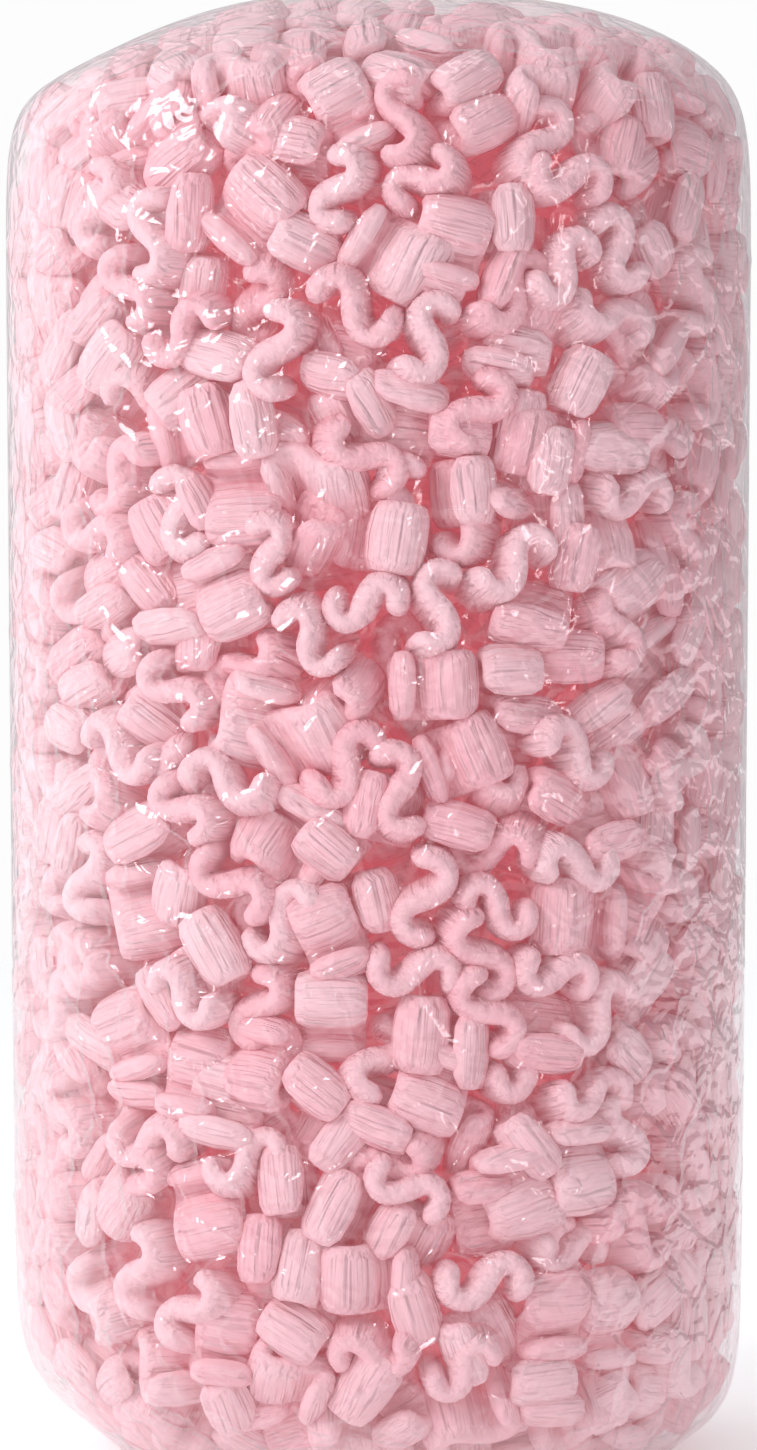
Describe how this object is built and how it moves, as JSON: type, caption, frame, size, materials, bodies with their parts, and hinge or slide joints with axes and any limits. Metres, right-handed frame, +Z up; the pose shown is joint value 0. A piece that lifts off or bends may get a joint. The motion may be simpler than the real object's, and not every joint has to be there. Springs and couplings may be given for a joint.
{
  "type": "packing peanut bag",
  "caption": "Tall clear film bag packed tight with pink S-shaped foam packing peanuts, standing on its flat end; loose fill for shipping cartons.",
  "frame": {"origin": "middle of the flat base that the bag stands on", "axes": "+Z up along the bag, +X to the right of its front, front towards -Y"},
  "size_m": [0.2991, 0.288, 0.5779],
  "materials": {
    "film": "clear glossy polyethylene film, slightly hazy",
    "foam": "soft pink expanded polystyrene foam with fine grooves"
  },
  "bodies": {
    "root": {"film_bag": "film", "loose_fill": "foam", "peanut_01": "foam", "peanut_02": "foam", "peanut_03": "foam", "peanut_04": "foam", "peanut_05": "foam", "peanut_06": "foam", "peanut_07": "foam", "peanut_08": "foam", "peanut_09": "foam", "peanut_10": "foam", "peanut_11": "foam", "peanut_12": "foam", "peanut_13": "foam", "peanut_14": "foam", "peanut_15": "foam", "peanut_16": "foam", "peanut_17": "foam", "peanut_18": "foam", "peanut_19": "foam", "peanut_20": "foam", "peanut_21": "foam", "peanut_22": "foam", "peanut_23": "foam", "peanut_24": "foam", "peanut_25": "foam", "peanut_26": "foam", "peanut_27": "foam", "peanut_28": "foam", "peanut_29": "foam", "peanut_30": "foam", "peanut_31": "foam", "peanut_32": "foam", "peanut_33": "foam", "peanut_34": "foam", "peanut_35": "foam", "peanut_36": "foam", "peanut_37": "foam", "peanut_38": "foam", "peanut_39": "foam", "peanut_40": "foam", "peanut_41": "foam", "peanut_42": "foam", "peanut_43": "foam", "peanut_44": "foam", "peanut_45": "foam", "peanut_46": "foam", "peanut_47": "foam", "peanut_48": "foam", "peanut_49": "foam", "peanut_50": "foam", "peanut_51": "foam", "peanut_52": "foam", "peanut_53": "foam", "peanut_54": "foam", "peanut_55": "foam", "peanut_56": "foam"}
  },
  "joints": []
}
